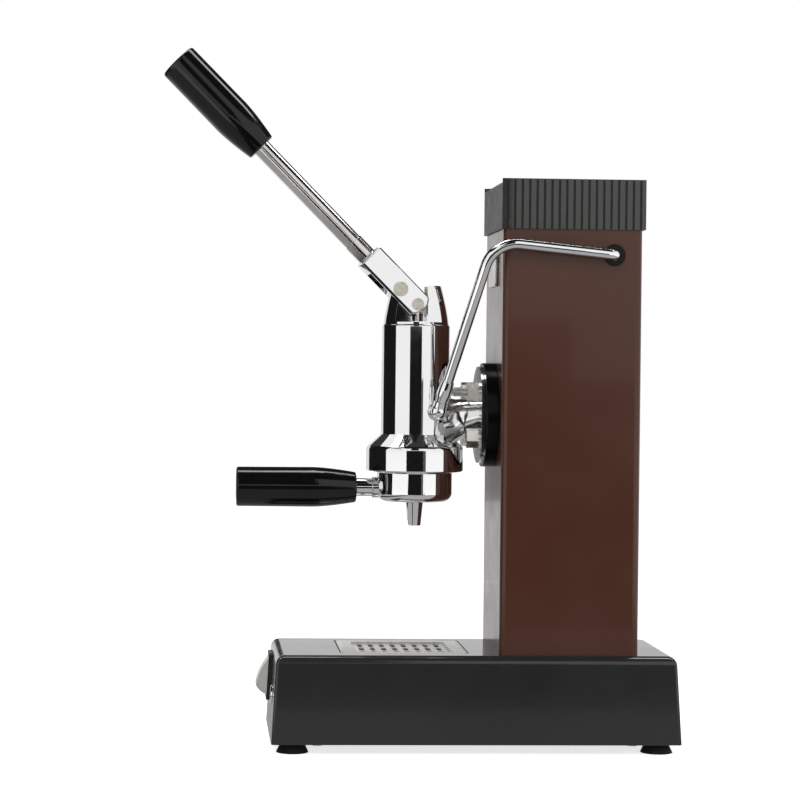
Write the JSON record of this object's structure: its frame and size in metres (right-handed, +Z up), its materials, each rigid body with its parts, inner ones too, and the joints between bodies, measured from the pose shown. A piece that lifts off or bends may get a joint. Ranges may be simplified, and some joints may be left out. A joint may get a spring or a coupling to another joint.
{
  "type": "lever espresso machine",
  "caption": "Upright spring-lever espresso machine with a square column, ribbed top cap, chrome lever group, portafilter and drip-tray base.",
  "frame": {"origin": "on the table, below the middle of the base's footprint", "axes": "+Z up, -Y towards the front (the switch and the grips), +X to the side with the transfer pipe"},
  "size_m": [0.1163, 0.3602, 0.4847],
  "materials": {
    "black_enamel": "gloss black enamel",
    "brown_enamel": "gloss brown enamel",
    "black_plastic": "satin black plastic",
    "grip_black": "gloss black plastic",
    "chrome": "bright chrome plate",
    "stainless": "satin stainless steel",
    "brass": "plain brass",
    "copper": null,
    "rubber": "matt black rubber",
    "smoke_plastic": "translucent grey plastic",
    "lens": "dark lens"
  },
  "bodies": {
    "machine": {"base_shell": "black_enamel", "column_shell": "brown_enamel", "switch_housing": "black_plastic", "insulating_disc": "black_plastic", "cord_gland": "black_plastic", "bottom_plate": "black_plastic", "group_body": "chrome", "group_cap": "chrome", "transfer_pipe": "chrome", "group_pipe_nut": "chrome", "flange_nuts": "chrome", "lamp_ring": "chrome", "bottom_screws": "stainless", "column_screws": "stainless", "flange_studs": "stainless", "main_spring": "stainless", "shower_screen": "stainless", "pressure_switch": "stainless", "element_bolts": "stainless", "badge_plate": "stainless", "boiler": "brass", "element_flange": "brass", "safety_valve": "brass", "boiler_pipe_nut": "brass", "sense_pipe": "copper", "heating_element": "copper", "foot_front_left": "rubber", "foot_front_right": "rubber", "foot_rear_left": "rubber", "foot_rear_right": "rubber", "pipe_grommet": "rubber", "group_gasket": "rubber", "terminal_block": "smoke_plastic", "lamp_lens": "lens"},
    "lever": {"lever_fork": "chrome", "lever_ferrule": "chrome", "lever_tube": "chrome", "lever_grip": "grip_black", "fulcrum_pin": "stainless", "rod_pin": "stainless"},
    "piston": {"piston": "brass", "piston_seals": "rubber", "piston_rod": "stainless"},
    "portafilter": {"portafilter_cup": "chrome", "filter_basket": "stainless", "basket_clip": "stainless", "spout": "chrome", "portafilter_stem": "chrome", "portafilter_grip": "grip_black"},
    "rocker": {"rocker": "smoke_plastic"},
    "drip_pan": {"drip_pan": "stainless"},
    "drip_grid": {"drip_grid": "stainless"},
    "top_cap": {"top_cap": "black_plastic"},
    "filler_cap": {"filler_cap": "black_plastic", "filler_gasket": "rubber"}
  },
  "joints": [
    {"name": "lever_swing", "type": "hinge", "parent": "machine", "child": "lever", "pos_m": [0, -0.0524, 0.3177], "axis": [1, 0, 0], "range_deg": [0, 80], "stiffness_Nm_per_rad": 3, "springref_deg": -28.65},
    {"name": "piston_slide", "type": "slide", "parent": "machine", "child": "piston", "axis": [0, 0, 1], "range_m": [0, 0.0207], "deforming": ["main_spring"]},
    {"name": "portafilter_turn", "type": "hinge", "parent": "machine", "child": "portafilter", "pos_m": [0, -0.0395, 0.1906], "axis": [0, 0, 1], "range_deg": [-45, 0]},
    {"name": "rocker_tilt", "type": "hinge", "parent": "machine", "child": "rocker", "pos_m": [-0.022, -0.13753, 0.04395], "axis": [1, 0, 0], "range_deg": [0, 42]},
    {"name": "pan_lift", "type": "slide", "parent": "machine", "child": "drip_pan", "axis": [0, 0, 1], "range_m": [0, 0.04]},
    {"name": "grid_lift", "type": "slide", "parent": "drip_pan", "child": "drip_grid", "axis": [0, 0, 1], "range_m": [0, 0.03]},
    {"name": "cap_lift", "type": "slide", "parent": "machine", "child": "top_cap", "axis": [0, 0, 1], "range_m": [0, 0.06]},
    {"name": "filler_turn", "type": "hinge", "parent": "machine", "child": "filler_cap", "pos_m": [0, 0.0635, 0.361], "axis": [0, 0, 1], "range_deg": [0, 180]}
  ],
  "couplings": [
    {"joint": "piston_slide", "follows": "lever_swing", "m_per_rad": 0.014729}
  ]
}
